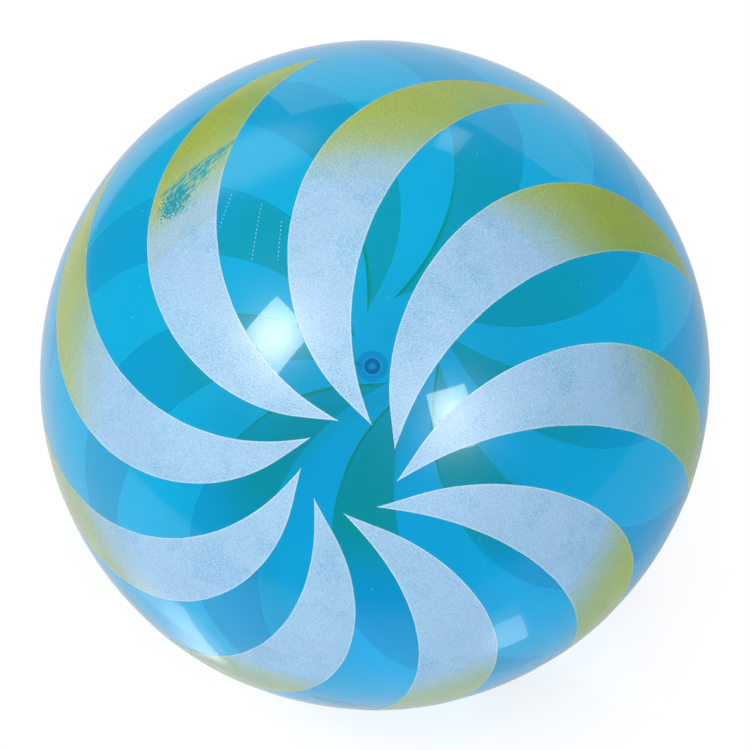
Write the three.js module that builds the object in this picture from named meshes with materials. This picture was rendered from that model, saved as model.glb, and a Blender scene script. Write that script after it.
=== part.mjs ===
// Clear blue inflated vinyl play ball, with a swirl of nine painted crescents on each half.
// Millimetres, +Z up. The origin is the ball's centre.

import * as THREE from 'three';

// Skin
const BALL_DIAMETER = 230;
const WALL = 0.5;
const SKIN_RINGS = 28;
const SKIN_SEGMENTS = 56;

// Valve: a neck moulded into the skin, pointing inwards, and its push-in plug
const PLUG_HEAD_DIAMETER = 5.9;
const PLUG_HEAD_THICKNESS = 1.0;
const PLUG_DIMPLE_DIAMETER = 2.6;
const PLUG_DIMPLE_DEPTH = 0.4;
const PLUG_SHANK_DIAMETER = 2.6;
const PLUG_SHANK_LENGTH = 8.0;
const PLUG_TIP_DIAMETER = 1.4;
const PLUG_TIP_LENGTH = 1.6;
const PLUG_SEGMENTS = 28;
const PLUG_CLEARANCE = 0.3;
const NECK_LENGTH = 8.5;
const NECK_WALL = 1.25;
const NECK_END_WALL = 0.9;
const NECK_FILLET = 1.2;
const NECK_FILLET_STEPS = 3;

// Paint: each crescent is a thin film that lies just clear of the skin
const CRESCENT_COUNT = 9;
const FILM_THICKNESS = 0.25;
const FILM_CLEARANCE = 0.3;
const FILM_FACET_LENGTH = 8.5;
const FILM_FACET_WIDTH = 14.5;

// The stencil's opening, in degrees of arc as seen from the ball's centre.
// Its two edges share their tips, and each bulges sideways from the line between them.
const INNER_TIP_FROM_POLE = 8.6;
const OUTER_TIP_FROM_POLE = 84.2;
const OUTER_TIP_BEHIND = 8.2;
const CONVEX_EDGE = { bulge: 31.1, roundness: 87.1, lean: -1.6 };
const CONCAVE_EDGE = { bulge: 17.1, roundness: 50, lean: -3.1 };

// How the ball lies, in degrees. The front swirl's pole is tipped towards the viewer.
// The rear was sprayed through the same stencil with the ball turned over, a little out of square.
const FRONT_PLACING = { tip: 43.5, lean: -4.1, turn: 26.5 };
const REAR_PLACING = { tip: -145.4, lean: 4.3, turn: 27.3 };
const VALVE_PLACING = { tip: -60, lean: 0, turn: 0.5 };

// Colours. Each half fades from one paint to the other between two angles from its pole.
const CLEAR_BLUE = 0x2aa8dc;
const CLEAR_BLUE_OPACITY = 0.5;
const PLUG_BLUE = 0x1682b4;
const WHITE_PAINT = 0xc9e0f4;
const YELLOW_PAINT = 0xb4c24e;
const FRONT_FADE = { inner: WHITE_PAINT, outer: YELLOW_PAINT, from: 49, to: 58 };
const REAR_FADE = { inner: YELLOW_PAINT, outer: WHITE_PAINT, from: 37, to: 46 };

// Worked out from the sizes above
const ballRadius = BALL_DIAMETER / 2;
const innerRadius = ballRadius - WALL;
const headRadius = PLUG_HEAD_DIAMETER / 2;
const dimpleRadius = PLUG_DIMPLE_DIAMETER / 2;
const shankRadius = PLUG_SHANK_DIAMETER / 2;
const seatRadius = headRadius + PLUG_CLEARANCE;
const boreRadius = shankRadius + PLUG_CLEARANCE;
const neckRadius = seatRadius + NECK_WALL;
const neckEndRadius = boreRadius + NECK_END_WALL;
const headUnderside = heightOnBall(headRadius) - PLUG_HEAD_THICKNESS;
const seatFloor = headUnderside - PLUG_CLEARANCE;

function radians(degrees) {
  return THREE.MathUtils.degToRad(degrees);
}

// A list of the results of make(0) to make(steps)
function series(steps, make) {
  return Array.from({ length: steps + 1 }, (_, i) => make(i));
}

// Height at which the ball's outside has this radius about the valve's axis
function heightOnBall(radius) {
  return Math.sqrt(ballRadius ** 2 - radius ** 2);
}

// Points of a circular arc, in a plane that holds the valve's axis
function arc(centre, radius, from, to, steps) {
  return series(steps, (i) => {
    const angle = from + ((to - from) * i) / steps;
    const point = new THREE.Vector2(Math.cos(angle), Math.sin(angle));
    return point.multiplyScalar(radius).add(centre);
  });
}

// Round corner where the neck's outside meets the skin's inner face
function neckFillet() {
  const x = neckRadius + NECK_FILLET;
  const y = Math.sqrt((innerRadius - NECK_FILLET) ** 2 - x ** 2);
  return arc(new THREE.Vector2(x, y), NECK_FILLET, Math.PI, Math.atan2(y, x), NECK_FILLET_STEPS);
}

// Hollow skin, revolved about the valve's axis: up the outside, through the neck, and down the inside
function makeSkin() {
  const centre = new THREE.Vector2();
  const bottom = -Math.PI / 2;
  const mouth = Math.acos(seatRadius / ballRadius);
  const neckEnd = seatFloor - NECK_LENGTH;
  const fillet = neckFillet();
  const innerStart = fillet[NECK_FILLET_STEPS].angle();
  const outside = arc(centre, ballRadius, bottom, mouth, SKIN_RINGS);
  const inside = arc(centre, innerRadius, innerStart, bottom, SKIN_RINGS);
  outside[0].x = 0;
  inside[SKIN_RINGS].x = 0;
  const neck = [
    new THREE.Vector2(seatRadius, seatFloor),
    new THREE.Vector2(boreRadius, seatFloor),
    new THREE.Vector2(boreRadius, neckEnd),
    new THREE.Vector2(neckEndRadius, neckEnd),
  ];
  const profile = [...outside, ...neck, ...fillet, ...inside.slice(1)];
  return new THREE.LatheGeometry(profile, SKIN_SEGMENTS);
}

// Plug with a dimpled head that is flush with the ball, a shank and a tapered tip
function makePlug() {
  const shankEnd = headUnderside - PLUG_SHANK_LENGTH;
  const tipEnd = shankEnd - PLUG_TIP_LENGTH;
  const profile = [
    new THREE.Vector2(0, tipEnd),
    new THREE.Vector2(PLUG_TIP_DIAMETER / 2, tipEnd),
    new THREE.Vector2(shankRadius, shankEnd),
    new THREE.Vector2(shankRadius, headUnderside),
    new THREE.Vector2(headRadius, headUnderside),
    new THREE.Vector2(headRadius, heightOnBall(headRadius)),
    new THREE.Vector2(dimpleRadius, heightOnBall(dimpleRadius)),
    new THREE.Vector2(0, heightOnBall(dimpleRadius) - PLUG_DIMPLE_DEPTH),
  ];
  return new THREE.LatheGeometry(profile, PLUG_SEGMENTS);
}

// Direction from the ball's centre, by the angle from a swirl's pole and the angle round it
function direction(fromPole, around) {
  const spread = Math.sin(radians(fromPole));
  return new THREE.Vector3(
    spread * Math.cos(radians(around)),
    spread * Math.sin(radians(around)),
    Math.cos(radians(fromPole)),
  );
}

// The line between a crescent's tips: its middle, the way it runs and the way the edges bulge
function tipLine() {
  const inner = direction(INNER_TIP_FROM_POLE, 0);
  const outer = direction(OUTER_TIP_FROM_POLE, -OUTER_TIP_BEHIND);
  const middle = inner.clone().add(outer).normalize();
  const side = inner.clone().cross(outer).normalize();
  const run = side.clone().cross(middle);
  return { middle, run, side, halfLength: inner.angleTo(middle) };
}

// Direction of a point of an edge, at a share of the way from the inner tip to the outer one
function edgeDirection(edge, share, line) {
  const most = radians(edge.roundness);
  const angle = most * (2 * share - 1);
  const rise = (Math.cos(angle) - Math.cos(most)) / (1 - Math.cos(most));
  const along = (line.halfLength * Math.sin(angle)) / Math.sin(most) + radians(edge.lean) * rise;
  const aside = radians(edge.bulge) * rise;
  return new THREE.Vector3()
    .addScaledVector(line.middle, Math.cos(along) * Math.cos(aside))
    .addScaledVector(line.run, Math.sin(along) * Math.cos(aside))
    .addScaledVector(line.side, Math.sin(aside));
}

// Rows of directions across a crescent, from its inner tip to its outer one
function crescentRows() {
  const line = tipLine();
  const length = 2 * line.halfLength * ballRadius;
  const width = radians(CONVEX_EDGE.bulge - CONCAVE_EDGE.bulge) * ballRadius;
  const stepsLong = Math.ceil(length / FILM_FACET_LENGTH);
  const stepsWide = Math.ceil(width / FILM_FACET_WIDTH);
  return series(stepsLong, (i) => {
    const concave = edgeDirection(CONCAVE_EDGE, i / stepsLong, line);
    const convex = edgeDirection(CONVEX_EDGE, i / stepsLong, line);
    return series(stepsWide, (j) => concave.clone().lerp(convex, j / stepsWide).normalize());
  });
}

// Radius of a film's underside, raised so that the middles of its flat facets clear the skin too
function undersideRadius(rows) {
  const diagonals = rows.slice(1).flatMap((row, i) =>
    row.slice(1).map((corner, j) => Math.max(corner.angleTo(rows[i][j]), row[j].angleTo(rows[i][j + 1]))),
  );
  return (ballRadius + FILM_CLEARANCE) / Math.cos(Math.max(...diagonals) / 2);
}

// Triangles between rings of equal size, each ring closed on itself
function ringTriangles(ringCount, ringSize) {
  const triangles = [];
  for (let i = 0; i < ringCount - 1; i += 1) {
    for (let j = 0; j < ringSize; j += 1) {
      const here = i * ringSize + j;
      const beside = i * ringSize + ((j + 1) % ringSize);
      triangles.push(here, beside, here + ringSize);
      triangles.push(beside, beside + ringSize, here + ringSize);
    }
  }
  return triangles;
}

// Paint colour at a direction, by its angle from the swirl's pole
function fadedColour(fade, way) {
  const fromPole = THREE.MathUtils.radToDeg(Math.acos(way.z));
  const share = THREE.MathUtils.smoothstep(fromPole, fade.from, fade.to);
  return new THREE.Color(fade.inner).lerp(new THREE.Color(fade.outer), share);
}

// One crescent of paint: rings that run across its underside and back across its top
function makeCrescent(fade) {
  const rows = crescentRows();
  const underside = undersideRadius(rows);
  const top = underside + FILM_THICKNESS;
  const ring = (row) => [
    ...row.map((way) => way.clone().multiplyScalar(underside)),
    ...row.toReversed().map((way) => way.clone().multiplyScalar(top)),
  ];
  const points = rows.flatMap(ring);
  const colours = points.flatMap((point) => fadedColour(fade, point.clone().normalize()).toArray());
  const geometry = new THREE.BufferGeometry().setFromPoints(points);
  geometry.setAttribute('color', new THREE.Float32BufferAttribute(colours, 3));
  geometry.setIndex(ringTriangles(rows.length, points.length / rows.length));
  geometry.computeVertexNormals();
  return geometry;
}

function clearBlue() {
  return new THREE.MeshStandardMaterial({
    name: 'clear_blue_vinyl',
    color: CLEAR_BLUE,
    transparent: true,
    opacity: CLEAR_BLUE_OPACITY,
    roughness: 0.08,
    metalness: 0,
  });
}

function plugBlue() {
  return new THREE.MeshStandardMaterial({
    name: 'plug_plastic',
    color: PLUG_BLUE,
    roughness: 0.35,
    metalness: 0,
  });
}

function paint() {
  return new THREE.MeshStandardMaterial({
    name: 'sprayed_paint',
    vertexColors: true,
    roughness: 0.5,
    metalness: 0,
  });
}

function namedMesh(name, geometry, material) {
  const mesh = new THREE.Mesh(geometry, material);
  mesh.name = name;
  return mesh;
}

// A group turned as its placing says
function placedGroup(placing) {
  const group = new THREE.Group();
  group.rotation.set(radians(placing.tip), radians(placing.lean), radians(placing.turn));
  return group;
}

// The skin and its plug, about the valve's axis
function makeBody() {
  const body = placedGroup(VALVE_PLACING);
  body.add(namedMesh('ball_skin', makeSkin(), clearBlue()));
  body.add(namedMesh('valve_plug', makePlug(), plugBlue()));
  return body;
}

// The crescents of one half, spread evenly round its pole
function makeSwirl(half, placing, fade) {
  const swirl = placedGroup(placing);
  for (let i = 0; i < CRESCENT_COUNT; i += 1) {
    const crescent = namedMesh(`${half}_crescent_${i + 1}`, makeCrescent(fade), paint());
    crescent.rotation.z = (2 * Math.PI * i) / CRESCENT_COUNT;
    swirl.add(crescent);
  }
  return swirl;
}

const ball = new THREE.Group();
ball.add(makeBody());
ball.add(makeSwirl('front', FRONT_PLACING, FRONT_FADE));
ball.add(makeSwirl('rear', REAR_PLACING, REAR_FADE));

export default ball;
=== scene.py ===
"""Looks of the clear blue inflated play ball with a painted swirl on each half. Metres, +Z up."""
import math

import bpy
import numpy as np
from mathutils import Euler, Matrix, Vector


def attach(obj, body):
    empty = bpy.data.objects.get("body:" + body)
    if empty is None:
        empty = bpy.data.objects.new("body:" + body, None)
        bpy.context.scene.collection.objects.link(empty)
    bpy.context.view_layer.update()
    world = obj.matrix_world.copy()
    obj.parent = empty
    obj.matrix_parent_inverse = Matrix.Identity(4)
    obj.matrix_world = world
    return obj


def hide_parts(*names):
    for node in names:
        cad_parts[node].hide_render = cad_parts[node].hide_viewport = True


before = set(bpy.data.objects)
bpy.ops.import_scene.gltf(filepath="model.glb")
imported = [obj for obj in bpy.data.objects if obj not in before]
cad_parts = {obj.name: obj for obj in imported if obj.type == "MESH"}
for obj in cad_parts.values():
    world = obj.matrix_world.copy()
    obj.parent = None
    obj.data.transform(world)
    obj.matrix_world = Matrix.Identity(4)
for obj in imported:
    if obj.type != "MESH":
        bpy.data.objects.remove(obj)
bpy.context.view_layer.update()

MM = 0.001

# Skin and valve, as in the solids
BALL_RADIUS = 115.0 * MM
WALL = 0.5 * MM
PLUG_HEAD_RADIUS = 2.95 * MM
PLUG_HEAD_THICKNESS = 1.0 * MM
PLUG_DIMPLE_RADIUS = 1.3 * MM
PLUG_DIMPLE_DEPTH = 0.4 * MM
PLUG_SHANK_RADIUS = 1.3 * MM
PLUG_SHANK_LENGTH = 8.0 * MM
PLUG_TIP_RADIUS = 0.7 * MM
PLUG_TIP_LENGTH = 1.6 * MM
PLUG_CLEARANCE = 0.3 * MM
NECK_LENGTH = 8.5 * MM
NECK_WALL = 1.25 * MM
NECK_END_WALL = 0.9 * MM
NECK_FILLET = 1.2 * MM
EDGE_ROUND = 0.25 * MM
SKIN_RINGS = 110
SKIN_SEGMENTS = 160
PLUG_SEGMENTS = 64
ARC_STEPS = 6
OUTSIDE_SLOT = 0
INSIDE_SLOT = 1
NECK_SLOT = 2

# Paint films, as in the solids, but lying closer to the skin
CRESCENT_COUNT = 9
FILM_UNDERSIDE = BALL_RADIUS + 0.06 * MM
FILM_TOP = BALL_RADIUS + 0.14 * MM
FILM_STEPS_LONG = 150
FILM_STEPS_WIDE = 16
PAINTED_SLOT = 0
UNDERSIDE_SLOT = 1
INNER_TIP_FROM_POLE = 8.6
OUTER_TIP_FROM_POLE = 84.2
OUTER_TIP_BEHIND = 8.2
CONVEX_EDGE = {"bulge": 31.1, "roundness": 87.1, "lean": -1.6}
CONCAVE_EDGE = {"bulge": 17.1, "roundness": 50.0, "lean": -3.1}
EDGE_WANDER = 0.025
EDGE_WAVES = (9, 17, 31, 53)
EDGE_PHASE = {"seed": 1.7, "wave": 2.3}
CONVEX_SEED = 40
DRAWN_TIP = {"from_pole": 7.85, "around": -4.2}
DRAWN_SHARE = 0.06
TIP_FROM_EDGE = 0.12 * MM

# Spraying of the front crescents, in turn: how late the yellow comes, in degrees, and how strong it is
FRONT_LATE = (0.0, 1.0, 3.0, 3.0, 2.0, -1.0, 0.0, -1.0, 3.0)
FRONT_STRENGTH = (1.0, 0.98, 1.0, 0.97, 0.82, 0.86, 0.86, 0.96, 0.95)

# Mask lines in degrees from the pole, the fade's pull across a crescent, and the way the second coat slipped
FRONT_MASK = 49.0
REAR_MASK = 38.0
FADE_PULL = 1.5
SECOND_COAT_SLIP = (-0.93, 0.37, 0.0)

# Scuff on a front crescent, in the frame of the solids
SCUFF_START = (-45.8 * MM, 34.1 * MM, 99.8 * MM)
SCUFF_END = (-66.8 * MM, 13.1 * MM, 92.7 * MM)

# Dotted scratches on the skin, in the frame of the solids: start and end, in millimetres
SCRATCHES = (
    ((-46.7, 11.1, 104.5), (-50.5, -1.1, 103.3)),
    ((-36.8, 4.8, 108.9), (-39.8, -15.4, 106.8)),
    ((-30.2, -2.8, 110.9), (-31.4, -16.9, 109.4)),
)
SCRATCH_HALF_WIDTH = 0.16 * MM
SCRATCH_PITCH = 1.5 * MM
SCRATCH_DOT = (0.30 * SCRATCH_PITCH, 0.38 * SCRATCH_PITCH)

# How the ball lies, in degrees
FRONT_PLACING = {"tip": 43.5, "lean": -4.1, "turn": 26.5}
REAR_PLACING = {"tip": -145.4, "lean": 4.3, "turn": 27.3}
VALVE_PLACING = {"tip": -60.0, "lean": 0.0, "turn": 0.5}

# Camera and lamps: angles in degrees, and ramps of a lamp's glow
CAMERA_ELEVATION = 61.6
CAMERA_DISTANCE = 1.725
CAMERA_LENS = 240.7
CAMERA_SENSOR = 36.0
LEFT_SOFTBOX = {"way": (-0.544, -0.204, 0.814), "width": 17.6, "height": 19.0, "roll": 18.8}
RIGHT_SOFTBOX = {"way": (0.425, -0.629, 0.651), "width": 13.4, "height": 20.2, "roll": -13.9}
BACK_LIGHT = {"way": (0.312, 0.845, 0.435), "width": 6.2, "height": 13.4, "roll": 0.0}
LEFT_PANEL = {"way": (-0.485, 0.786, 0.383), "width": 42.0, "height": 31.0, "roll": -37.2}
LOW_LIGHT = {"spot": (-0.128, -0.090), "length": 0.080, "width": 0.077, "turn": 26.6}
FRONT_PATCH = {"spot": (0.115, -0.188), "length": 0.070, "width": 0.030, "turn": -59.0}
FILL_LIGHT = {"way": (-0.30, -0.05, 0.95), "width": 80.0, "height": 80.0, "roll": 0.0}
LAMP_DISTANCE = 2.4
SOFTBOX_RADIANCE = 17.5
BACK_RADIANCE = 2.4
LOW_RADIANCE = 2.0
PATCH_RADIANCE = 2.4
FILL_RADIANCE = 1.05
PANEL_RADIANCE = 1.2
WORLD_LEVEL = 0.03
SOFTBOX_GLOW = (0.05, 0.70, 1.35, 0.55)
PANEL_GLOW = (0.20, 0.50, 1.2, 0.0)
LOW_LIGHT_FADE = (0.48, 1.0)
LAMP_MIDDLE = (0.5, 0.5, 0.0)

# White table, as the ball mirrors it, in metres
TABLE_LEFT = 0.58
TABLE_RIGHT = 0.60
TABLE_WIDENS_FROM = 0.30
TABLE_WIDENS = 0.55
TABLE_BACK_LEFT = 0.31
TABLE_FRONT = 0.45
TABLE_BACK = 1.00
BACK_CARD_OUTLINE = [
    (-0.33, -0.115), (1.02, -0.115), (1.02, 0.10), (0.91, 0.30), (0.58, 0.366), (0.31, 0.31), (-0.33, 0.30),
]
FAR_FLOOR_IN_GLOSS = 0.05
TABLE_LEFT_BLUR = 0.04
TABLE_RIGHT_BLUR = 0.06
TABLE_BACK_LEFT_BLUR = 0.03
TABLE_FRONT_BLUR = 0.15
TABLE_BACK_BLUR = 0.02
TABLE_NARROWS = (0.18, 0.27, 1.0, 0.0)
TABLE_DIMS = (-0.10, 0.35, 0.90, 0.43)
TABLE_DIMS_ASLANT = -0.5
SHADOW_RAMP = (0.05, 0.14, 0.64, 1.0)
FLOOR_ROUGHNESS = 0.06
FLOOR_REACH = 8.0
FLOOR_GAP = 0.2 * MM

# Colours, linear
VINYL_TINT = (0.085, 0.690, 0.900, 1.0)
# Deeper tint, reached at random and, towards the back right, as painted shade
VINYL_DEEP_AND_SHADED_TINT = (0.072, 0.635, 0.850, 1.0)
NECK_TINT = (0.36, 0.77, 0.89, 1.0)
WHITE_INK = {
    "colour": (0.625, 0.79, 0.96, 1.0),
    "thin": (0.40, 0.71, 0.95, 1.0),
    "rim": (0.84, 0.94, 1.0, 1.0),
    # Seen from inside: a blue-green colour, painted light that stands in for the blue light reaching the
    # paint through the skin
    "inside": (0.05, 0.96, 1.0, 1.0),
    "cover": 0.97,
    "inside_cover": 0.32,
}
YELLOW_INK = {
    "colour": (0.69, 0.66, 0.035, 1.0),
    "thin": (0.42, 0.61, 0.18, 1.0),
    "rim": (0.78, 0.74, 0.30, 1.0),
    # Seen from inside: a green colour, painted light that stands in for the blue light reaching the paint
    # through the skin
    "inside": (0.03, 0.98, 0.14, 1.0),
    "cover": 0.97,
    "inside_cover": 0.35,
}
SECOND_COAT_STAIN = (0.70, 0.79, 0.48, 1.0)
SCRATCH_WHITE = (0.75, 0.90, 1.0, 1.0)
RUBBED_INK = (0.02, 0.46, 0.30, 1.0)
PLUG_BLUE = (0.016, 0.42, 0.62, 1.0)
PLUG_PALE_BLUE = (0.03, 0.52, 0.70, 1.0)
PLUG_TINT = (0.45, 0.86, 0.96, 1.0)
PLAIN_WHITE = (1.0, 1.0, 1.0, 1.0)
FLOOR_WHITE = (0.92, 0.92, 0.92, 1.0)
FLOOR_POLISH = (0.04, 0.04, 0.04, 1.0)
TABLE_IN_GLOSS = (1.0, 1.0, 1.08, 1.0)
BACK_CARD_WHITE = (0.92, 0.94, 1.0, 1.0)

# Finish of the vinyl and the plug: noises, and ramps from and to a value, with what they give at its ends
DEPTH_NOISE = {"scale": 9.0, "detail": 3.0}
# Painted shade: how fast the tint deepens towards the back right, and how much the back counts in it
SHADE_DEEPENS_PER_METRE = 3.5
SHADE_ASLANT = 0.5
DEPTH_AND_SHADE_RAMP = (0.3, 0.9)
POLISH_NOISE = {"scale": 60.0, "detail": 4.0}
POLISH_RAMP = (0.35, 0.75, 0.03, 0.06)
DUST_NOISE = {"scale": 900.0, "detail": 1.0}
DUST_RAMP = (0.79, 0.83, 0.0, 0.35)
SCRATCH_SHARE = 0.45
HAZE_ROUGHNESS = 0.30
HAZE_SHARE = 0.38
VINYL_HEAD_ON = 0.052
SEEN_FROM_INSIDE_GLOSS = 0.15
INSIDE_ROUGHNESS = 0.25
INSIDE_HEAD_ON = 0.04
INSIDE_GLOSS = 0.12
GRAZING_POWER = 5.0
CLEAR_LAYERS = 16
PLUG_NOISE = {"scale": 400.0, "detail": 3.0}
PLUG_ROUGHNESS = 0.3
PLUG_SOLID_SHARE = 0.35

# Finish of the paint, in the same way
GRAIN_NOISE = {"scale": 2600.0, "detail": 1.0}
CLOUD_NOISE = {"scale": 45.0, "detail": 4.0, "roughness": 0.6}
SPECK_NOISE = {"scale": 2300.0, "detail": 2.0}
STREAK_NOISE = {"scale": 24.0, "detail": 4.0, "roughness": 0.6}
SAND_NOISE = {"scale": 1900.0, "detail": 2.0, "roughness": 0.6}
SPARSE_NOISE = {"scale": 60.0, "detail": 4.0, "roughness": 0.6}
WORN_NOISE = {"scale": 190.0, "detail": 4.0, "roughness": 0.6}
FADE_GRAIN = 9.0
FADE_CLOUD = 8.0
MIST_WIDTH = 9.0
MIST_SHARES = (0.16, 0.80)
FULL_COAT_STARTS = 6.0
FULL_COAT_ENDS = 18.0
FULL_COAT_SHARES = (0.0, 0.20)
MASK_BLUR = 0.12
STREAKS_LEAN = 0.30
STREAK_RAMP = (0.36, 0.68, 0.0, 0.75)
SAND_RAMP = (0.30, 0.60, 0.60, 0.0)
SPARSE_RAMP = (0.40, 0.64, 0.25, 0.48)
HOLE_RAMP = (-0.04, 0.04, 1.0, 0.0)
WORN_RAMP = (0.70, 0.76)
ONE_COAT_RAMP = (0.10, 0.60, 1.0, 0.15)
BARE_THINNESS = 0.75
BARE_COVER = 0.82
RUBBED_COVER = 0.58
RIM_RAMP = (0.25, 0.80, 0.85, 0.0)
CLOUD_SHADE_RAMP = (0.3, 0.7, 0.97, 1.02)
SAND_SHADE_RAMP = (0.3, 0.7, 0.90, 1.09)
RAGGED_EDGE = 0.22
EDGE_RAMP = (-0.05, 0.05)
INK_LETS_THROUGH = 0.46
PAINT_HEAD_ON = 0.06
PAINT_ROUGHNESS_RAMP = (0.3, 0.8, 0.36, 0.14)
PAINT_RELIEF = {"Strength": 0.25, "Distance": 0.1 * MM}
SECOND_COAT_EDGE_RAMP = (0.5, 1.9, 1.0, 0.0)
SECOND_COAT_WAY_RAMP = (0.15, 0.75)
SECOND_COAT_REACH_RAMP = (18.0, 42.0)

# Finish of the rub: strokes that spread along a line, and a worn patch at its end
STROKE_NOISE = {"Scale": 1700.0, "Detail": 3.0}
STROKE_STRETCH = 0.13
STROKE_RAMP = (0.53, 0.59)
STROKES_SPREAD = 0.52
STROKES_START_WIDTH = 1.2 * MM
STROKES_LOW_SIDE_RAMP = (-0.80, -0.40, -0.30, 0.08)
STROKES_HIGH_SIDE_RAMP = (0.0, 1.15, 0.0, -0.34)
STROKES_BEGIN = (-1.0 * MM, 1.5 * MM)
STROKES_STOP = (-4.0 * MM, 1.5 * MM)
PATCH_NOISE = {"scale": 1500.0, "detail": 2.0}
PATCH_RAMP = (0.50, 0.56)
PATCH_REACH_RAMP = (1.5 * MM, 10.0 * MM, 0.12, -0.24)


# Meshes

def turned(placing):
    """The rotation of a placing, as a matrix."""
    angles = [math.radians(placing[key]) for key in ("tip", "lean", "turn")]
    return (
        Matrix.Rotation(angles[0], 3, "X")
        @ Matrix.Rotation(angles[1], 3, "Y")
        @ Matrix.Rotation(angles[2], 3, "Z")
    )


def new_piece(name, points, faces):
    """A smooth-shaded mesh object in the scene."""
    mesh = bpy.data.meshes.new(name)
    mesh.from_pydata([tuple(p) for p in points], [], faces)
    mesh.validate()
    for polygon in mesh.polygons:
        polygon.use_smooth = True
    piece = bpy.data.objects.new(name, mesh)
    bpy.context.scene.collection.objects.link(piece)
    return piece


def arc(centre, radius, start, end, steps):
    """Points of a circular arc in the plane of radius and height, with angles in radians."""
    angles = np.linspace(start, end, steps + 1)
    return [(centre[0] + radius * math.cos(a), centre[1] + radius * math.sin(a)) for a in angles]


def height_on_ball(radius):
    return math.sqrt(BALL_RADIUS ** 2 - radius ** 2)


def lathe(profile, segments):
    """Points and faces of a profile turned about local Y. Its first and last points are on the axis."""
    angles = np.linspace(0, 2 * math.pi, segments, endpoint=False)
    points = [(0.0, profile[0][1], 0.0)]
    for radius, height in profile[1:-1]:
        points += [(radius * math.sin(a), height, radius * math.cos(a)) for a in angles]
    points.append((0.0, profile[-1][1], 0.0))
    rings = len(profile) - 2
    last = len(points) - 1
    faces = []
    for j in range(segments):
        k = (j + 1) % segments
        faces.append((0, 1 + k, 1 + j))
        for i in range(rings - 1):
            low = 1 + i * segments
            high = low + segments
            faces.append((low + j, low + k, high + k, high + j))
        top = 1 + (rings - 1) * segments
        faces.append((top + j, top + k, last))
    return points, faces


def turned_points(points, placing):
    return np.array(points) @ np.array(turned(placing)).T


def skin_profile():
    """Up the outside, through the neck and down the inside, and how many points the outside has."""
    inner_radius = BALL_RADIUS - WALL
    seat_radius = PLUG_HEAD_RADIUS + PLUG_CLEARANCE
    bore_radius = PLUG_SHANK_RADIUS + PLUG_CLEARANCE
    neck_radius = seat_radius + NECK_WALL
    neck_end_radius = bore_radius + NECK_END_WALL
    seat_floor = height_on_ball(PLUG_HEAD_RADIUS) - PLUG_HEAD_THICKNESS - PLUG_CLEARANCE
    neck_end = seat_floor - NECK_LENGTH
    bottom = -math.pi / 2
    lip_radius = seat_radius + EDGE_ROUND
    lip_height = height_on_ball(lip_radius)
    outside = arc((0, 0), BALL_RADIUS, bottom, math.atan2(lip_height, lip_radius), SKIN_RINGS)
    lip = arc((lip_radius, lip_height - EDGE_ROUND), EDGE_ROUND, math.pi / 2, math.pi, ARC_STEPS)
    neck = [
        (seat_radius, seat_floor),
        (bore_radius, seat_floor),
        (bore_radius, neck_end + EDGE_ROUND),
        (bore_radius + EDGE_ROUND, neck_end),
        (neck_end_radius - EDGE_ROUND, neck_end),
        (neck_end_radius, neck_end + EDGE_ROUND),
    ]
    fillet_x = neck_radius + NECK_FILLET
    fillet_y = math.sqrt((inner_radius - NECK_FILLET) ** 2 - fillet_x ** 2)
    fillet = arc((fillet_x, fillet_y), NECK_FILLET, math.pi, math.atan2(fillet_y, fillet_x), ARC_STEPS)
    inner_start = math.atan2(fillet[-1][1], fillet[-1][0])
    inside = arc((0, 0), inner_radius, inner_start, bottom, SKIN_RINGS)
    return outside + lip[1:] + neck + fillet + inside[1:], len(outside) + len(lip) - 1


def make_skin():
    """The hollow skin, with its outside, its inside and the valve's neck in three material slots."""
    profile, outside_count = skin_profile()
    points, faces = lathe(profile, SKIN_SEGMENTS)
    skin = new_piece("vinyl_skin", turned_points(points, VALVE_PLACING), faces)
    per_segment = len(profile) - 1
    for polygon in skin.data.polygons:
        ring = polygon.index % per_segment
        if ring < outside_count - ARC_STEPS - 1:
            polygon.material_index = OUTSIDE_SLOT
        elif ring < per_segment - SKIN_RINGS:
            polygon.material_index = NECK_SLOT
        else:
            polygon.material_index = INSIDE_SLOT
    return skin


def plug_profile():
    """From the tip's end, up the shank, over the head and into its dimple."""
    head_under = height_on_ball(PLUG_HEAD_RADIUS) - PLUG_HEAD_THICKNESS
    shank_end = head_under - PLUG_SHANK_LENGTH
    tip_end = shank_end - PLUG_TIP_LENGTH
    rim = height_on_ball(PLUG_HEAD_RADIUS) - 0.5 * EDGE_ROUND
    dimple_floor = height_on_ball(PLUG_DIMPLE_RADIUS) - PLUG_DIMPLE_DEPTH
    tip = arc((PLUG_TIP_RADIUS - EDGE_ROUND, tip_end + EDGE_ROUND), EDGE_ROUND, -math.pi / 2, 0, ARC_STEPS)
    head = arc((PLUG_HEAD_RADIUS - EDGE_ROUND, rim - EDGE_ROUND), EDGE_ROUND, 0, math.pi / 2, ARC_STEPS)
    return [
        (0, tip_end),
        *tip,
        (PLUG_SHANK_RADIUS, shank_end),
        (PLUG_SHANK_RADIUS, head_under),
        (PLUG_HEAD_RADIUS - EDGE_ROUND, head_under),
        (PLUG_HEAD_RADIUS, head_under + EDGE_ROUND),
        *head,
        (PLUG_DIMPLE_RADIUS + EDGE_ROUND, height_on_ball(PLUG_DIMPLE_RADIUS)),
        (PLUG_DIMPLE_RADIUS, height_on_ball(PLUG_DIMPLE_RADIUS) - EDGE_ROUND),
        (PLUG_DIMPLE_RADIUS - EDGE_ROUND, dimple_floor),
        (0, dimple_floor),
    ]


def make_plug():
    points, faces = lathe(plug_profile(), PLUG_SEGMENTS)
    return new_piece("push_in_plug", turned_points(points, VALVE_PLACING), faces)


def direction(from_pole, around):
    spread = math.sin(math.radians(from_pole))
    turn = math.radians(around)
    return np.array((spread * math.cos(turn), spread * math.sin(turn), math.cos(math.radians(from_pole))))


def unit(v):
    return v / np.linalg.norm(v, axis=-1, keepdims=True)


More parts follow.
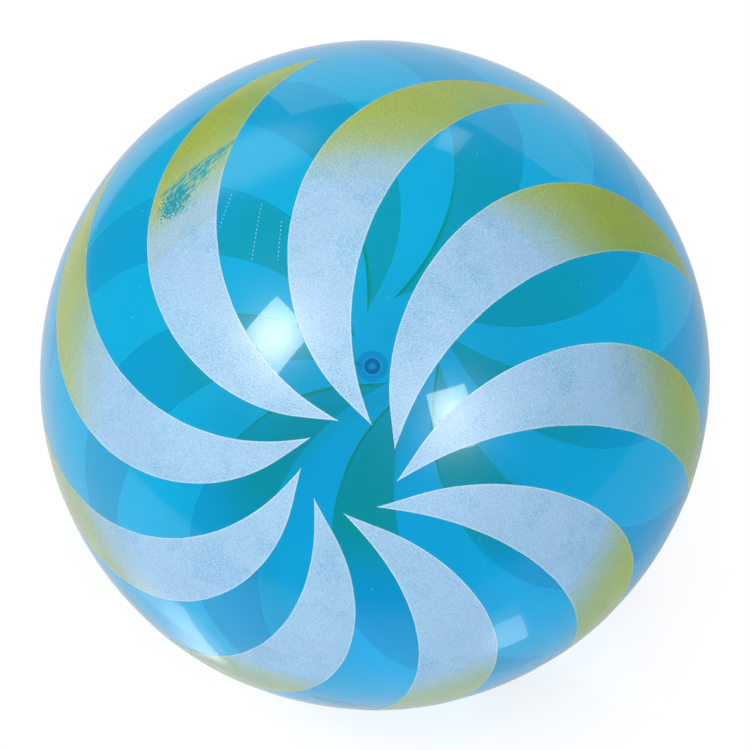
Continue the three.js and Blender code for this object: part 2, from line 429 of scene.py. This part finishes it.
def tip_line():
    """The line between a crescent's tips: its middle, its run, the way it bulges and half its length."""
    inner = direction(INNER_TIP_FROM_POLE, 0)
    outer = direction(OUTER_TIP_FROM_POLE, -OUTER_TIP_BEHIND)
    middle = unit(inner + outer)
    side = unit(np.cross(inner, outer))
    run = np.cross(side, middle)
    return middle, run, side, math.acos(float(inner @ middle))


def wander(shares, seed):
    """A small smooth wobble along an edge, zero at its tips, in degrees."""
    total = np.zeros_like(shares)
    for k, waves in enumerate(EDGE_WAVES):
        phase = EDGE_PHASE["seed"] * seed + EDGE_PHASE["wave"] * k
        total += np.sin(2 * math.pi * waves * shares + phase) / (k + 1)
    return EDGE_WANDER * total * np.sin(math.pi * shares)


def edge_directions(edge, shares, wobble):
    middle, run, side, half_length = tip_line()
    most = math.radians(edge["roundness"])
    angle = most * (2 * shares - 1)
    rise = (np.cos(angle) - math.cos(most)) / (1 - math.cos(most))
    along = half_length * np.sin(angle) / math.sin(most) + math.radians(edge["lean"]) * rise
    aside = np.radians(edge["bulge"] * rise + wobble)
    return (
        np.outer(np.cos(along) * np.cos(aside), middle)
        + np.outer(np.sin(along) * np.cos(aside), run)
        + np.outer(np.sin(aside), side)
    )


def drawn_out(shares):
    """How far the paint runs past the solid's inner tip, which is blunter."""
    pull = direction(DRAWN_TIP["from_pole"], DRAWN_TIP["around"]) - direction(INNER_TIP_FROM_POLE, 0)
    return np.outer(np.clip(1 - shares / DRAWN_SHARE, 0, 1) ** 2, pull)


def film_grid(seed):
    """Directions over a crescent, how far each one is from an edge, and the shares across it."""
    shares = np.linspace(0, 1, FILM_STEPS_LONG + 1)
    concave_wobble = wander(shares, seed)
    concave = unit(edge_directions(CONCAVE_EDGE, shares, concave_wobble) + drawn_out(shares))
    convex_wobble = wander(shares, seed + CONVEX_SEED)
    convex = unit(edge_directions(CONVEX_EDGE, shares, convex_wobble) + drawn_out(shares))
    across = np.linspace(0, 1, FILM_STEPS_WIDE + 1)
    grid = concave[:, None, :] * (1 - across)[None, :, None] + convex[:, None, :] * across[None, :, None]
    widths = np.arccos(np.clip((concave * convex).sum(1), -1, 1)) * BALL_RADIUS
    from_edge = np.minimum(across, 1 - across)[None, :] * widths[:, None]
    return unit(grid), from_edge, across


def film_faces(rings, ring_size):
    """Faces of a closed tube of rings, with a single point at each end."""
    faces = []
    last = 1 + rings * ring_size
    for j in range(ring_size):
        k = (j + 1) % ring_size
        faces.append((0, 1 + k, 1 + j))
        for i in range(rings - 1):
            here = 1 + i * ring_size
            there = here + ring_size
            faces.append((here + j, here + k, there + k, there + j))
        end = 1 + (rings - 1) * ring_size
        faces.append((end + j, end + k, last))
    return faces


def store(mesh, name, values):
    layer = mesh.attributes.new(name, "FLOAT", "POINT")
    layer.data.foreach_set("value", np.array(values, np.float32))


def sharpen_sides(mesh, faces_per_strip):
    """Keeps the film's thin sides out of the smooth shading of its top."""
    sides = (FILM_STEPS_WIDE, 2 * FILM_STEPS_WIDE + 1)
    thin = [polygon for polygon in mesh.polygons if polygon.index // faces_per_strip in sides]
    sharp = {key for polygon in thin for key in polygon.edge_keys}
    for edge in mesh.edges:
        edge.use_edge_sharp = tuple(edge.key) in sharp


def overlap_grid(grid, rotation):
    """How far each half of a crescent looks the way that the second coat slipped, from 0 to 1."""
    half = grid.shape[1] // 2
    concave = unit(grid[1:-1, 0] - grid[1:-1, 1]) @ rotation.T @ np.array(SECOND_COAT_SLIP)
    convex = unit(grid[1:-1, -1] - grid[1:-1, -2]) @ rotation.T @ np.array(SECOND_COAT_SLIP)
    across = np.arange(grid.shape[1])
    chosen = np.where(across[None, :] < half, concave[:, None], convex[:, None])
    return np.clip(chosen, 0, 1)


def film_points(grid):
    """Points of a film: a tip, rings that go along its underside and back over its top, and the other tip."""
    rows = grid[1:-1]
    rings = np.concatenate((rows * FILM_UNDERSIDE, rows[:, ::-1] * FILM_TOP), axis=1)
    middle_radius = 0.5 * (FILM_UNDERSIDE + FILM_TOP)
    first = grid[0, 0] * middle_radius
    last = grid[-1, 0] * middle_radius
    return np.concatenate((first[None], rings.reshape(-1, 3), last[None]))


def over_film(tip, values):
    """A value for each of a film's points, from one for its tips and a grid of those between them."""
    rings = np.concatenate((values, values[:, ::-1]), axis=1)
    return np.concatenate(((tip,), rings.reshape(-1), (tip,)))


def choose_slots(mesh, faces_per_strip):
    """Paint on a film's top and sides, and a clear underside."""
    for polygon in mesh.polygons:
        strip = polygon.index // faces_per_strip
        polygon.material_index = UNDERSIDE_SLOT if strip < FILM_STEPS_WIDE else PAINTED_SLOT


def make_film(name, placing, turn, seed, late, strength):
    """One crescent of paint as a thin closed film, with what its material needs to know at each point."""
    grid, from_edge, across = film_grid(seed)
    points = film_points(grid)
    rotation = np.array(turned(placing) @ Matrix.Rotation(math.radians(turn), 3, "Z"))
    rows = len(grid) - 2
    film = new_piece(name, points @ rotation.T, film_faces(rows, 2 * grid.shape[1]))
    sharpen_sides(film.data, rows + 1)
    choose_slots(film.data, rows + 1)
    from_pole = np.degrees(np.arccos(np.clip(unit(points)[:, 2], -1, 1)))
    store(film.data, "from_pole", from_pole)
    store(film.data, "from_edge", over_film(TIP_FROM_EDGE, from_edge[1:-1]) / MM)
    store(film.data, "across", over_film(0.5, np.tile(across, (rows, 1))))
    store(film.data, "overlap", over_film(0.0, overlap_grid(grid, rotation)))
    store(film.data, "late", np.full(len(points), late))
    store(film.data, "strength", np.full(len(points), strength))
    return film


# Materials

def new_material(name):
    material = bpy.data.materials.new(name)
    material.use_nodes = True
    material.node_tree.nodes.clear()
    return material


def add(material, kind, inputs=None, **settings):
    """A node with its settings, whose inputs take numbers, colours or other nodes' outputs."""
    node = material.node_tree.nodes.new(kind)
    for key, value in settings.items():
        setattr(node, key, value)
    for key, value in (inputs or {}).items():
        if isinstance(value, bpy.types.NodeSocket):
            material.node_tree.links.new(value, node.inputs[key])
        else:
            node.inputs[key].default_value = value
    return node


def maths(material, operation, *values):
    node = add(material, "ShaderNodeMath", dict(enumerate(values)), operation=operation)
    return node.outputs[0]


def ramp(material, value, low, high, start=0.0, end=1.0):
    """Smoothly from start to end as the value goes from low to high."""
    inputs = {"Value": value, "From Min": low, "From Max": high, "To Min": start, "To Max": end}
    node = add(material, "ShaderNodeMapRange", inputs, interpolation_type="SMOOTHSTEP")
    return node.outputs["Result"]


def past(material, value, line, blur):
    """Softly from 0 to 1 where a value passes a line."""
    return ramp(material, value, line - blur, line + blur)


def short_of(material, value, line, blur):
    """Softly from 1 to 0 where a value passes a line."""
    return ramp(material, value, line - blur, line + blur, 1.0, 0.0)


def place(material):
    return add(material, "ShaderNodeTexCoord").outputs["Object"]


def noise(material, scale, detail=2.0, roughness=0.5):
    inputs = {"Vector": place(material), "Scale": scale, "Detail": detail, "Roughness": roughness}
    return add(material, "ShaderNodeTexNoise", inputs).outputs["Fac"]


def mix(material, share, first, second):
    """A colour between two colours."""
    return add(material, "ShaderNodeMix", {0: share, 6: first, 7: second}, data_type="RGBA").outputs[2]


def attribute(material, name):
    return add(material, "ShaderNodeAttribute", attribute_name=name).outputs["Fac"]


def show(material, shader):
    add(material, "ShaderNodeOutputMaterial", {"Surface": shader})
    return material


def mirror_share(material, head_on):
    """How much a clear surface mirrors, alike from both sides: little head on, and all at a grazing angle."""
    facing = add(material, "ShaderNodeLayerWeight", {"Blend": 0.5}).outputs["Facing"]
    grazing = maths(material, "POWER", facing, GRAZING_POWER)
    return maths(material, "MULTIPLY_ADD", grazing, 1.0 - head_on, head_on)


def inner_side(material):
    """1 where a surface is seen from inside the ball, and 0 from outside."""
    return add(material, "ShaderNodeNewGeometry").outputs["Backfacing"]


def along_and_aside(m, start, run, side):
    """How far a point lies from a start along one way and along another."""
    spot = add(m, "ShaderNodeVectorMath", {0: place(m), 1: start}, operation="SUBTRACT").outputs[0]
    along = add(m, "ShaderNodeVectorMath", {0: spot, 1: run}, operation="DOT_PRODUCT").outputs["Value"]
    aside = add(m, "ShaderNodeVectorMath", {0: spot, 1: side}, operation="DOT_PRODUCT").outputs["Value"]
    return along, aside


def scratch_marks(m):
    """1 on the dots of the scratches and 0 elsewhere."""
    marks = 0.0
    for ends in SCRATCHES:
        start, end = (Vector(point) * MM for point in ends)
        run = (end - start).normalized()
        along, aside = along_and_aside(m, start, run, start.normalized().cross(run))
        from_line = maths(m, "ABSOLUTE", aside)
        on_line = ramp(m, from_line, 0.5 * SCRATCH_HALF_WIDTH, SCRATCH_HALF_WIDTH, 1.0, 0.0)
        dotted = maths(m, "PINGPONG", along, 0.5 * SCRATCH_PITCH)
        on_dot = ramp(m, dotted, *SCRATCH_DOT)
        length = (end - start).length
        on_run = maths(m, "COMPARE", along, 0.5 * length, 0.5 * length)
        dots = maths(m, "MULTIPLY", maths(m, "MULTIPLY", on_line, on_dot), on_run)
        marks = maths(m, "MAXIMUM", marks, dots)
    height = add(m, "ShaderNodeSeparateXYZ", {0: place(m)}).outputs["Z"]
    return maths(m, "MULTIPLY", marks, maths(m, "GREATER_THAN", height, 0.0))


def clear_vinyl():
    """Tinted see-through skin whose colour deepens a little at random, and towards the back right as painted
    shade, glossy outside and duller inside.
    """
    m = new_material("clear_blue_vinyl")
    parts = add(m, "ShaderNodeSeparateXYZ", {0: place(m)}).outputs
    # Painted shade: the tint deepens towards the back right, on top of its random variation
    towards_back_right = maths(m, "MULTIPLY_ADD", parts["Y"], SHADE_ASLANT, parts["X"])
    painted_shade = maths(m, "MULTIPLY", towards_back_right, SHADE_DEEPENS_PER_METRE)
    deepening_and_shade = ramp(m, maths(m, "ADD", noise(m, **DEPTH_NOISE), painted_shade), *DEPTH_AND_SHADE_RAMP)
    tint = mix(m, deepening_and_shade, VINYL_TINT, VINYL_DEEP_AND_SHADED_TINT)
    through = add(m, "ShaderNodeBsdfTransparent", {"Color": tint}).outputs[0]
    inside = inner_side(m)
    smooth = ramp(m, noise(m, **POLISH_NOISE), *POLISH_RAMP)
    rough = maths(m, "MAXIMUM", smooth, maths(m, "MULTIPLY", inside, INSIDE_ROUGHNESS))
    sharp = add(m, "ShaderNodeBsdfGlossy", {"Roughness": rough}).outputs[0]
    hazy = add(m, "ShaderNodeBsdfGlossy", {"Roughness": HAZE_ROUGHNESS}).outputs[0]
    gloss = add(m, "ShaderNodeMixShader", {0: HAZE_SHARE, 1: sharp, 2: hazy}).outputs[0]
    kept = ramp(m, inside, 0.0, 1.0, 1.0, SEEN_FROM_INSIDE_GLOSS)
    share = maths(m, "MULTIPLY", mirror_share(m, VINYL_HEAD_ON), kept)
    skin = add(m, "ShaderNodeMixShader", {0: share, 1: through, 2: gloss}).outputs[0]
    scored = add(m, "ShaderNodeBsdfDiffuse", {"Color": SCRATCH_WHITE}).outputs[0]
    dust = ramp(m, noise(m, **DUST_NOISE), *DUST_RAMP)
    marks = maths(m, "MAXIMUM", dust, maths(m, "MULTIPLY", scratch_marks(m), SCRATCH_SHARE))
    return show(m, add(m, "ShaderNodeMixShader", {0: marks, 1: skin, 2: scored}).outputs[0])


def clear_inside(name, tint):
    """The skin's inner face, where the colour has been counted already, or the neck's thicker wall."""
    m = new_material(name)
    through = add(m, "ShaderNodeBsdfTransparent", {"Color": tint}).outputs[0]
    gloss = add(m, "ShaderNodeBsdfGlossy", {"Roughness": INSIDE_ROUGHNESS}).outputs[0]
    share = maths(m, "MULTIPLY", mirror_share(m, INSIDE_HEAD_ON), INSIDE_GLOSS)
    return show(m, add(m, "ShaderNodeMixShader", {0: share, 1: through, 2: gloss}).outputs[0])


def around_middle(m, value, strength):
    """A value's swing about a half, made stronger."""
    return maths(m, "MULTIPLY", maths(m, "SUBTRACT", value, 0.5), strength)


def fade_share(m, mask, grain, cloud):
    """How much of the outer colour lies on the paint: a first mist past the mask line, then more and more."""
    angle = attribute(m, "from_pole")
    lead = maths(m, "SUBTRACT", angle, attribute(m, "late"))
    lead = maths(m, "ADD", lead, around_middle(m, attribute(m, "across"), FADE_PULL))
    lead = maths(m, "ADD", lead, around_middle(m, grain, FADE_GRAIN))
    lead = maths(m, "ADD", lead, around_middle(m, cloud, FADE_CLOUD))
    rising = ramp(m, lead, mask, mask + MIST_WIDTH, *MIST_SHARES)
    full = ramp(m, lead, mask + FULL_COAT_STARTS, mask + FULL_COAT_ENDS, *FULL_COAT_SHARES)
    masked = past(m, angle, mask, MASK_BLUR)
    share = maths(m, "MULTIPLY", maths(m, "ADD", rising, full), masked)
    return maths(m, "MULTIPLY", share, attribute(m, "strength"))


def rub_strokes(m):
    """1 on the strokes of a rub that has bared the skin, which spread along one line of the ball."""
    start = Vector(SCUFF_START)
    line = Vector(SCUFF_END) - start
    run = line.normalized()
    along, aside = along_and_aside(m, start, run, (start + 0.5 * line).normalized().cross(run))
    squeezed = maths(m, "MULTIPLY", along, STROKE_STRETCH)
    stretched = add(m, "ShaderNodeCombineXYZ", {0: squeezed, 1: aside}).outputs[0]
    strokes = add(m, "ShaderNodeTexNoise", {"Vector": stretched, **STROKE_NOISE}).outputs["Fac"]
    spread = maths(m, "MULTIPLY_ADD", along, STROKES_SPREAD, STROKES_START_WIDTH)
    over = maths(m, "DIVIDE", aside, spread)
    low_side = ramp(m, over, *STROKES_LOW_SIDE_RAMP)
    high_side = ramp(m, over, *STROKES_HIGH_SIDE_RAMP)
    leaning = maths(m, "ADD", low_side, high_side)
    mark = ramp(m, maths(m, "ADD", strokes, leaning), *STROKE_RAMP)
    begun = ramp(m, along, *STROKES_BEGIN)
    stop_starts, stop_ends = (line.length + distance for distance in STROKES_STOP)
    stopped = ramp(m, along, stop_starts, stop_ends, 1.0, 0.0)
    return maths(m, "MULTIPLY", mark, maths(m, "MULTIPLY", begun, stopped))


def rub_patch(m):
    """1 on the worn patch at the strokes' end."""
    from_end = add(m, "ShaderNodeVectorMath", {0: place(m), 1: Vector(SCUFF_END)}, operation="DISTANCE")
    rubbed = ramp(m, from_end.outputs["Value"], *PATCH_REACH_RAMP)
    return ramp(m, maths(m, "ADD", noise(m, **PATCH_NOISE), rubbed), *PATCH_RAMP)


def faded_colour(m, key, faded, inner, outer):
    """A colour of the paint, faded from the inner to the outer ink."""
    return mix(m, faded, inner[key], outer[key])


def second_coat_line(m):
    """1 on a soft line along an edge, near the tip, where the second coat slipped past the first."""
    on_edge = ramp(m, attribute(m, "from_edge"), *SECOND_COAT_EDGE_RAMP)
    slipped = ramp(m, attribute(m, "overlap"), *SECOND_COAT_WAY_RAMP)
    from_tip = ramp(m, attribute(m, "from_pole"), *SECOND_COAT_REACH_RAMP)
    near_tip = maths(m, "SUBTRACT", 1.0, from_tip)
    return maths(m, "MULTIPLY", maths(m, "MULTIPLY", on_edge, slipped), near_tip)


def stained_film(m):
    """What shows where the paint is thin: the clear skin, stained inside where the second coat slipped."""
    stained = maths(m, "MULTIPLY", inner_side(m), second_coat_line(m))
    stain = mix(m, stained, PLAIN_WHITE, SECOND_COAT_STAIN)
    return add(m, "ShaderNodeBsdfTransparent", {"Color": stain}).outputs[0]


def bare_share(m, specks, faded):
    """How bare the paint is: pinholes in clusters and worn spots, fewer where there are two coats."""
    sparse = ramp(m, noise(m, **SPARSE_NOISE), *SPARSE_RAMP)
    hole = ramp(m, maths(m, "SUBTRACT", specks, sparse), *HOLE_RAMP)
    worn = ramp(m, noise(m, **WORN_NOISE), *WORN_RAMP)
    one_coat = ramp(m, faded, *ONE_COAT_RAMP)
    return maths(m, "MULTIPLY", maths(m, "MAXIMUM", hole, worn), one_coat)


def thin_share(m, sand, faded, bare):
    """How thin the paint is: streaks in the outer ink, sandy grain and bare spots."""
    lean = around_middle(m, attribute(m, "across"), STREAKS_LEAN)
    leaning = maths(m, "SUBTRACT", noise(m, **STREAK_NOISE), lean)
    streaks = maths(m, "MULTIPLY", ramp(m, leaning, *STREAK_RAMP), faded)
    sandy = maths(m, "MAXIMUM", streaks, ramp(m, sand, *SAND_RAMP))
    return maths(m, "MAXIMUM", sandy, maths(m, "MULTIPLY", bare, BARE_THINNESS))


def paint_colour(m, inner, outer, faded, cloud, bare):
    """The paint's colour outside, with its thin places and its rim, or from inside a blue-green colour that
    paints in the blue light reaching it through the skin.
    """
    sand = noise(m, **SAND_NOISE)
    thin = thin_share(m, sand, faded, bare)
    rim = ramp(m, attribute(m, "from_edge"), *RIM_RAMP)
    colour = faded_colour(m, "colour", faded, inner, outer)
    colour = mix(m, thin, colour, faded_colour(m, "thin", faded, inner, outer))
    colour = mix(m, rim, colour, faded_colour(m, "rim", faded, inner, outer))
    shade = maths(m, "MULTIPLY", ramp(m, cloud, *CLOUD_SHADE_RAMP), ramp(m, sand, *SAND_SHADE_RAMP))
    colour = add(m, "ShaderNodeVectorMath", {0: colour, "Scale": shade}, operation="SCALE").outputs[0]
    # Painted light: from inside, the paint takes its blue-green inside colour
    return mix(m, inner_side(m), colour, faded_colour(m, "inside", faded, inner, outer))


def paint_cover(m, inner, outer, faded, specks, bare):
    """How much the paint hides: less from inside, at its ragged edge and on bare spots."""
    ragged = maths(m, "MULTIPLY", specks, RAGGED_EDGE)
    kept = ramp(m, maths(m, "SUBTRACT", attribute(m, "from_edge"), ragged), *EDGE_RAMP)
    outside_cover = ramp(m, faded, 0.0, 1.0, inner["cover"], outer["cover"])
    inside_cover = ramp(m, faded, 0.0, 1.0, inner["inside_cover"], outer["inside_cover"])
    cover = ramp(m, inner_side(m), 0.0, 1.0, outside_cover, inside_cover)
    whole = maths(m, "MULTIPLY", kept, cover)
    return maths(m, "MULTIPLY", whole, ramp(m, bare, 0.0, 1.0, 1.0, BARE_COVER))


def paint_film(m, colour, grain):
    """Paint that lets some light through, with a fine relief and a sheen on its outer side."""
    face = add(m, "ShaderNodeBsdfDiffuse", {"Color": colour}).outputs[0]
    glow = add(m, "ShaderNodeBsdfTranslucent", {"Color": colour}).outputs[0]
    film = add(m, "ShaderNodeMixShader", {0: INK_LETS_THROUGH, 1: face, 2: glow}).outputs[0]
    facing = add(m, "ShaderNodeLayerWeight", {"Blend": 0.5}).outputs["Facing"]
    rough = ramp(m, facing, *PAINT_ROUGHNESS_RAMP)
    relief = add(m, "ShaderNodeBump", {**PAINT_RELIEF, "Height": grain}).outputs[0]
    sheen = add(m, "ShaderNodeBsdfGlossy", {"Roughness": rough, "Normal": relief}).outputs[0]
    outside = maths(m, "SUBTRACT", 1.0, inner_side(m))
    shine = maths(m, "MULTIPLY", mirror_share(m, PAINT_HEAD_ON), outside)
    return add(m, "ShaderNodeMixShader", {0: shine, 1: film, 2: sheen}).outputs[0]


def sprayed_ink(name, inner, outer, mask, rubbed, slipped):
    """Sprayed paint that fades from one ink to another beyond a mask line."""
    m = new_material(name)
    grain = noise(m, **GRAIN_NOISE)
    cloud = noise(m, **CLOUD_NOISE)
    specks = noise(m, **SPECK_NOISE)
    faded = fade_share(m, mask, grain, cloud)
    bare = bare_share(m, specks, faded)
    colour = paint_colour(m, inner, outer, faded, cloud, bare)
    alpha = paint_cover(m, inner, outer, faded, specks, bare)
    if rubbed:
        marks = maths(m, "MAXIMUM", rub_strokes(m), rub_patch(m))
        colour = mix(m, marks, colour, RUBBED_INK)
        alpha = maths(m, "MULTIPLY", alpha, ramp(m, marks, 0.0, 1.0, 1.0, RUBBED_COVER))
    film = paint_film(m, colour, grain)
    clear = stained_film(m) if slipped else add(m, "ShaderNodeBsdfTransparent").outputs[0]
    return show(m, add(m, "ShaderNodeMixShader", {0: alpha, 1: clear, 2: film}).outputs[0])


def clear_underside():
    """The paint's underside, which the clear skin carries: the paint itself is seen from its top face."""
    m = new_material("clear_underside")
    return show(m, add(m, "ShaderNodeBsdfTransparent").outputs[0])


def plug_plastic():
    m = new_material("plug_plastic")
    colour = mix(m, noise(m, **PLUG_NOISE), PLUG_BLUE, PLUG_PALE_BLUE)
    solid = add(m, "ShaderNodeBsdfPrincipled", {"Base Color": colour, "Roughness": PLUG_ROUGHNESS}).outputs[0]
    clear = add(m, "ShaderNodeBsdfTransparent", {"Color": PLUG_TINT}).outputs[0]
    return show(m, add(m, "ShaderNodeMixShader", {0: PLUG_SOLID_SHARE, 1: clear, 2: solid}).outputs[0])


def table_share(m, spot):
    """1 on the white table, dimmed away from the lamp as painted shade, and 0 on the dim floor beyond it, for
    the ball's gloss.
    """
    parts = add(m, "ShaderNodeSeparateXYZ", {0: spot}).outputs
    x = parts["X"]
    y = parts["Y"]
    behind_corner = maths(m, "MAXIMUM", maths(m, "SUBTRACT", y, TABLE_WIDENS_FROM), 0.0)
    widening = maths(m, "MULTIPLY", behind_corner, TABLE_WIDENS)
    right = short_of(m, maths(m, "SUBTRACT", x, widening), TABLE_RIGHT, TABLE_RIGHT_BLUR)
    front_left = maths(m, "MULTIPLY", ramp(m, y, *TABLE_NARROWS), past(m, x, -TABLE_LEFT, TABLE_LEFT_BLUR))
    left = maths(m, "MAXIMUM", front_left, past(m, x, -TABLE_BACK_LEFT, TABLE_BACK_LEFT_BLUR))
    front = past(m, y, -TABLE_FRONT, TABLE_FRONT_BLUR)
    back = short_of(m, y, TABLE_BACK, TABLE_BACK_BLUR)
    away_from_lamp = maths(m, "MULTIPLY_ADD", y, TABLE_DIMS_ASLANT, x)
    lit = ramp(m, away_from_lamp, *TABLE_DIMS)
    sides = maths(m, "MULTIPLY", left, right)
    return maths(m, "MULTIPLY", maths(m, "MULTIPLY", sides, lit), maths(m, "MULTIPLY", front, back))


def pale_floor():
    """White floor that keeps the shadow near the ball, and that the gloss shows as a table in a dim room."""
    m = new_material("pale_floor")
    spot = place(m)
    rays = add(m, "ShaderNodeLightPath").outputs
    mirrored = rays["Is Glossy Ray"]
    seen = maths(m, "MAXIMUM", rays["Is Camera Ray"], rays["Is Transmission Ray"])
    table = maths(m, "MAXIMUM", table_share(m, spot), FAR_FLOOR_IN_GLOSS)
    level = maths(m, "MAXIMUM", seen, maths(m, "MULTIPLY", mirrored, table))
    cool = mix(m, mirrored, PLAIN_WHITE, TABLE_IN_GLOSS)
    white = add(m, "ShaderNodeEmission", {"Color": cool, "Strength": level}).outputs[0]
    matt = add(m, "ShaderNodeBsdfDiffuse", {"Color": FLOOR_WHITE}).outputs[0]
    far = add(m, "ShaderNodeVectorMath", {0: spot}, operation="LENGTH").outputs["Value"]
    share = maths(m, "MULTIPLY", maths(m, "MAXIMUM", seen, mirrored), ramp(m, far, *SHADOW_RAMP))
    base = add(m, "ShaderNodeMixShader", {0: share, 1: matt, 2: white}).outputs[0]
    shine = {"Color": FLOOR_POLISH, "Roughness": FLOOR_ROUGHNESS}
    polish = add(m, "ShaderNodeBsdfGlossy", shine).outputs[0]
    return show(m, add(m, "ShaderNodeAddShader", {0: base, 1: polish}).outputs[0])


def back_card_white():
    m = new_material("back_card_white")
    return show(m, add(m, "ShaderNodeBsdfDiffuse", {"Color": BACK_CARD_WHITE}).outputs[0])


# Camera, floor and lamps

def make_camera():
    data = bpy.data.cameras.new("camera")
    data.lens = CAMERA_LENS
    data.sensor_width = CAMERA_SENSOR
    camera = bpy.data.objects.new("camera", data)
    up = math.radians(CAMERA_ELEVATION)
    camera.location = (0, -CAMERA_DISTANCE * math.cos(up), CAMERA_DISTANCE * math.sin(up))
    camera.rotation_euler = Euler((math.pi / 2 - up, 0, 0))
    bpy.context.scene.collection.objects.link(camera)
    bpy.context.scene.camera = camera


def make_floor():
    signs = ((-1, -1), (1, -1), (1, 1), (-1, 1))
    corners = [(FLOOR_REACH * x, FLOOR_REACH * y, 0) for x, y in signs]
    floor = new_piece("floor", corners, [(0, 1, 2, 3)])
    floor.location.z = -BALL_RADIUS - FLOOR_GAP
    floor.data.materials.append(pale_floor())


def make_back_card():
    """The raised back of the table, which only the ball's gloss and the light see."""
    corners = [(x, TABLE_BACK, z) for x, z in BACK_CARD_OUTLINE]
    card = new_piece("back_card", corners, [tuple(range(len(corners)))])
    card.data.materials.append(back_card_white())
    card.visible_camera = False


def soften_edges(lamp, glow):
    """Makes a lamp brighter in its middle than at its corners, as a softbox is."""
    lamp.use_nodes = True
    spot = add(lamp, "ShaderNodeNewGeometry").outputs["Parametric"]
    distance = add(lamp, "ShaderNodeVectorMath", {0: spot, 1: LAMP_MIDDLE}, operation="DISTANCE")
    strength = ramp(lamp, distance.outputs["Value"], *glow)
    lamp.node_tree.links.new(strength, lamp.node_tree.nodes["Emission"].inputs["Strength"])


def area_lamp(name, width, height, radiance):
    """An oblong lamp that the camera doesn't see."""
    data = bpy.data.lights.new(name, "AREA")
    data.shape = "RECTANGLE"
    data.size = width
    data.size_y = height
    data.energy = radiance * math.pi * data.size * data.size_y
    lamp = bpy.data.objects.new(name, data)
    lamp.visible_camera = False
    bpy.context.scene.collection.objects.link(lamp)
    return lamp


def make_lamp(name, box, radiance):
    """A lamp of a given size in degrees, as seen from the ball, that faces it."""
    width = 2 * LAMP_DISTANCE * math.tan(math.radians(box["width"] / 2))
    height = 2 * LAMP_DISTANCE * math.tan(math.radians(box["height"] / 2))
    lamp = area_lamp(name, width, height, radiance)
    way = Vector(box["way"]).normalized()
    facing = way.to_track_quat("Z", "Y").to_matrix()
    roll = Matrix.Rotation(math.radians(box["roll"]), 3, "Z")
    lamp.matrix_world = Matrix.Translation(way * LAMP_DISTANCE) @ (facing @ roll).to_4x4()
    return lamp


def fade_across(lamp):
    """Makes a lamp dimmer from one long side to the other."""
    lamp.use_nodes = True
    spot = add(lamp, "ShaderNodeNewGeometry").outputs["Parametric"]
    across = add(lamp, "ShaderNodeSeparateXYZ", {0: spot}).outputs["Y"]
    strength = ramp(lamp, across, *LOW_LIGHT_FADE)
    lamp.node_tree.links.new(strength, lamp.node_tree.nodes["Emission"].inputs["Strength"])


def make_table_light(name, patch, radiance):
    """A bright patch of the table beside the ball, which the ball mirrors."""
    lamp = area_lamp(name, patch["length"], patch["width"], radiance)
    lamp.location = (*patch["spot"], -BALL_RADIUS)
    lamp.rotation_euler = Euler((math.pi, 0, math.radians(patch["turn"])))
    return lamp


def make_lamps():
    """Lamps and bright patches of the table that the ball mirrors, and a wide lamp that it doesn't."""
    fade_across(make_table_light("low_light", LOW_LIGHT, LOW_RADIANCE).data)
    front_patch = make_table_light("front_patch", FRONT_PATCH, PATCH_RADIANCE)
    front_patch.visible_diffuse = False
    soften_edges(make_lamp("left_softbox", LEFT_SOFTBOX, SOFTBOX_RADIANCE).data, SOFTBOX_GLOW)
    soften_edges(make_lamp("right_softbox", RIGHT_SOFTBOX, SOFTBOX_RADIANCE).data, SOFTBOX_GLOW)
    soften_edges(make_lamp("back_light", BACK_LIGHT, BACK_RADIANCE).data, SOFTBOX_GLOW)
    soften_edges(make_lamp("left_panel", LEFT_PANEL, PANEL_RADIANCE).data, PANEL_GLOW)
    fill = make_lamp("fill_light", FILL_LIGHT, FILL_RADIANCE)
    fill.visible_glossy = False


def make_world():
    """White for the camera and through clear things, and a dim room for everything else."""
    world = bpy.data.worlds.new("room")
    world.use_nodes = True
    background = world.node_tree.nodes["Background"]
    background.inputs["Color"].default_value = PLAIN_WHITE
    rays = add(world, "ShaderNodeLightPath").outputs
    seen = maths(world, "MAXIMUM", rays["Is Camera Ray"], rays["Is Transmission Ray"])
    world.node_tree.links.new(maths(world, "MAXIMUM", seen, WORLD_LEVEL), background.inputs["Strength"])
    bpy.context.scene.world = world


# The ball

def make_swirl(half, placing, materials, seed, late, strength):
    for i in range(CRESCENT_COUNT):
        name = f"{half}_paint_{i + 1}"
        film = make_film(name, placing, 360.0 * i / CRESCENT_COUNT, seed + i, late[i], strength[i])
        for material in materials:
            film.data.materials.append(material)
        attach(film, "ball")
        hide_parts(f"{half}_crescent_{i + 1}")


def make_ball():
    skin = make_skin()
    skin.data.materials.append(clear_vinyl())
    skin.data.materials.append(clear_inside("clear_vinyl_inside", PLAIN_WHITE))
    skin.data.materials.append(clear_inside("clear_vinyl_neck", NECK_TINT))
    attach(skin, "ball")
    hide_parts("ball_skin")
    plug = make_plug()
    plug.data.materials.append(plug_plastic())
    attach(plug, "plug")
    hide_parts("valve_plug")
    front = sprayed_ink("front_ink", WHITE_INK, YELLOW_INK, FRONT_MASK, rubbed=True, slipped=False)
    rear = sprayed_ink("rear_ink", YELLOW_INK, WHITE_INK, REAR_MASK, rubbed=False, slipped=True)
    under = clear_underside()
    make_swirl("front", FRONT_PLACING, (front, under), 0, FRONT_LATE, FRONT_STRENGTH)
    even = (0.0,) * CRESCENT_COUNT
    whole = (1.0,) * CRESCENT_COUNT
    make_swirl("rear", REAR_PLACING, (rear, under), CRESCENT_COUNT, even, whole)


make_camera()
make_floor()
make_back_card()
make_lamps()
make_world()
make_ball()
bpy.context.scene.view_settings.view_transform = "Standard"
bpy.context.scene.cycles.transparent_max_bounces = CLEAR_LAYERS
